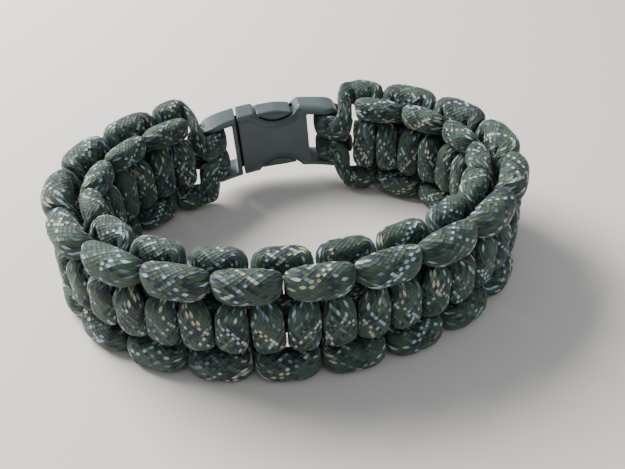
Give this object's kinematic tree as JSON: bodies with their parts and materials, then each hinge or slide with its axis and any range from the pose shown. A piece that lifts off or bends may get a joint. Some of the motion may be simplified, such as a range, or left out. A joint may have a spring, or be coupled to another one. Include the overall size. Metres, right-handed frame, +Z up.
{
  "type": "paracord bracelet",
  "caption": "Woven cord bracelet in a flat knotted band, fastened in an oval loop by a curved side-release buckle.",
  "frame": {"origin": "middle of the bracelet's outline on the floor it stands on, level with its lower edge", "axes": "+X to the right along the buckle from plug to socket, +Y from the front of the band to the buckle at the back, +Z up through the loop from the lower edge to the upper edge"},
  "size_m": [0.0818, 0.0606, 0.0213],
  "materials": {
    "buckle": "dark grey-green moulded plastic, satin",
    "cord": "braided sheath, dark olive green with pale blue-grey and tan flecks",
    "core": "the same braided cord, hidden inside the knots"
  },
  "bodies": {
    "root": {"buckle_socket": "buckle", "buckle_plug": "buckle", "cord_front": "cord", "cord_back": "cord", "core_upper": "core", "core_lower": "core"}
  },
  "joints": []
}
